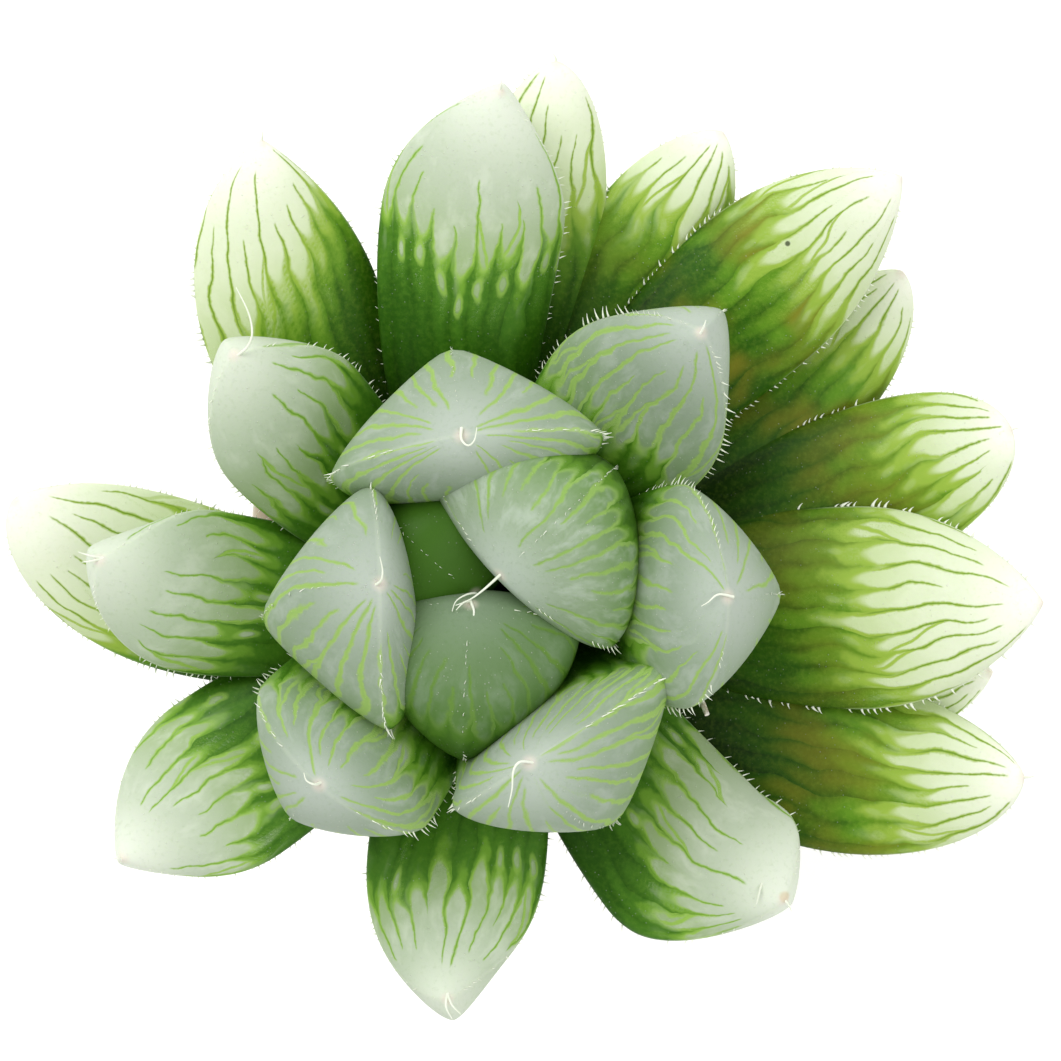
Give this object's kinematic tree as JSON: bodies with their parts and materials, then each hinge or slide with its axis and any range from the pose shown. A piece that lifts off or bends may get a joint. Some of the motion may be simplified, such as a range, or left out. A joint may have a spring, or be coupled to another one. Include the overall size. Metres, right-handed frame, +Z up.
{
  "type": "potted haworthia",
  "caption": "Low succulent rosette of thick, boat-shaped, window-tipped leaves on a short stem, in gritty soil in a small plain tapered pot with a collar.",
  "frame": {"origin": "centre of the pot's flat foot, on the surface that the pot stands on", "axes": "+Z up along the pot's axis, -Z out of the foot; seen from above with +Y up the page, the rosette lies as in the picture"},
  "size_m": [0.0836, 0.0773, 0.0771],
  "materials": {
    "pot": "satin",
    "soil": "matte",
    "stem": "matte",
    "bud_leaf": "satin",
    "crown_leaf": "satin",
    "middle_leaf": "satin",
    "outer_leaf": "satin"
  },
  "bodies": {
    "root": {"pot": "pot", "soil": "soil", "stem": "stem", "leaf_01": "bud_leaf", "leaf_02": "bud_leaf", "leaf_03": "bud_leaf", "leaf_04": "crown_leaf", "leaf_05": "crown_leaf", "leaf_06": "crown_leaf", "leaf_07": "crown_leaf", "leaf_08": "crown_leaf", "leaf_09": "crown_leaf", "leaf_10": "middle_leaf", "leaf_11": "middle_leaf", "leaf_12": "middle_leaf", "leaf_13": "middle_leaf", "leaf_14": "middle_leaf", "leaf_15": "middle_leaf", "leaf_16": "outer_leaf", "leaf_17": "outer_leaf", "leaf_18": "outer_leaf", "leaf_19": "outer_leaf", "leaf_20": "outer_leaf", "leaf_21": "outer_leaf", "leaf_22": "outer_leaf", "leaf_23": "outer_leaf", "leaf_24": "outer_leaf", "leaf_25": "outer_leaf"}
  },
  "joints": []
}
